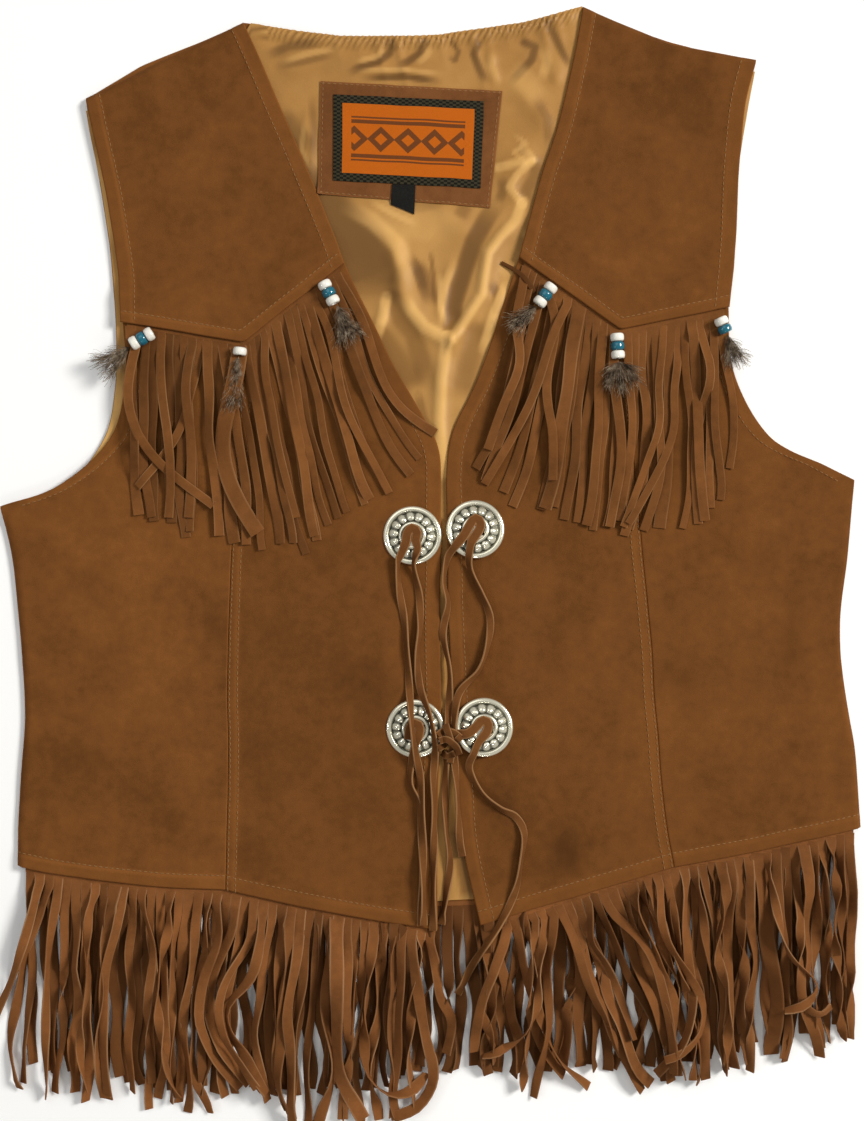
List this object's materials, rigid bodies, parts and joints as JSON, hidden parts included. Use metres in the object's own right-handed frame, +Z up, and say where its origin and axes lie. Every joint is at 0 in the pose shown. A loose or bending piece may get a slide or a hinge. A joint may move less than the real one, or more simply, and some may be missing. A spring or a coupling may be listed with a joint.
{
  "type": "fringed western vest",
  "caption": "Brown suede vest laid flat, front up, with cut fringe under its yokes and hem, silver conchos with lace ties, bead and feather dangles and a gold satin lining.",
  "frame": {"origin": "middle of the outline on the surface that the vest lies on", "axes": "+X towards the wearer's left, +Y towards the neck, +Z up, out of the front"},
  "size_m": [0.5814, 0.7318, 0.016],
  "materials": {
    "suede": "matte brown suede",
    "fringe_suede": "matte brown suede with pale cut edges",
    "lace_leather": "matte brown leather thong",
    "satin": "glossy gold satin",
    "woven_label": "woven orange label with a plain band and diamonds",
    "black_tape": "black woven tape",
    "silver": "bright stamped silver",
    "white_bead": "glossy off-white",
    "turquoise_bead": "glossy turquoise",
    "feather": "fluffy grey-brown feather"
  },
  "bodies": {
    "root": {"back": "suede", "front_side_right": "suede", "front_side_left": "suede", "front_centre_right": "suede", "front_centre_left": "suede", "yoke_right": "suede", "yoke_left": "suede", "label_patch": "suede", "back_lining": "satin", "yoke_fringe_right": "fringe_suede", "yoke_fringe_left": "fringe_suede", "hem_fringe_front_right": "fringe_suede", "hem_fringe_front_left": "fringe_suede", "hem_fringe_back": "fringe_suede", "label_woven": "woven_label", "size_tab": "black_tape", "concho_upper_right": "silver", "lace_loop_upper_right": "lace_leather", "concho_upper_left": "silver", "lace_loop_upper_left": "lace_leather", "concho_lower_right": "silver", "lace_loop_lower_right": "lace_leather", "concho_lower_left": "silver", "lace_loop_lower_left": "lace_leather", "lace_knot": "lace_leather", "lace_lower_right": "lace_leather", "lace_upper_right_outer": "lace_leather", "lace_upper_right_inner": "lace_leather", "lace_upper_left_inner": "lace_leather", "lace_upper_left_outer": "lace_leather", "lace_knot_right": "lace_leather", "lace_knot_left": "lace_leather", "lace_lower_left": "lace_leather", "bead_right_inner_1": "white_bead", "bead_right_inner_2": "turquoise_bead", "bead_right_inner_3": "white_bead", "tuft_right_inner": "feather", "bead_right_point_1": "white_bead", "tuft_right_point": "feather", "bead_right_outer_1": "white_bead", "bead_right_outer_2": "turquoise_bead", "bead_right_outer_3": "white_bead", "tuft_right_outer": "feather", "bead_left_inner_1": "white_bead", "bead_left_inner_2": "turquoise_bead", "bead_left_inner_3": "white_bead", "tuft_left_inner": "feather", "bead_left_point_1": "white_bead", "bead_left_point_2": "turquoise_bead", "bead_left_point_3": "white_bead", "tuft_left_point": "feather", "bead_left_outer_1": "white_bead", "bead_left_outer_2": "turquoise_bead", "tuft_left_outer": "feather"}
  },
  "joints": []
}
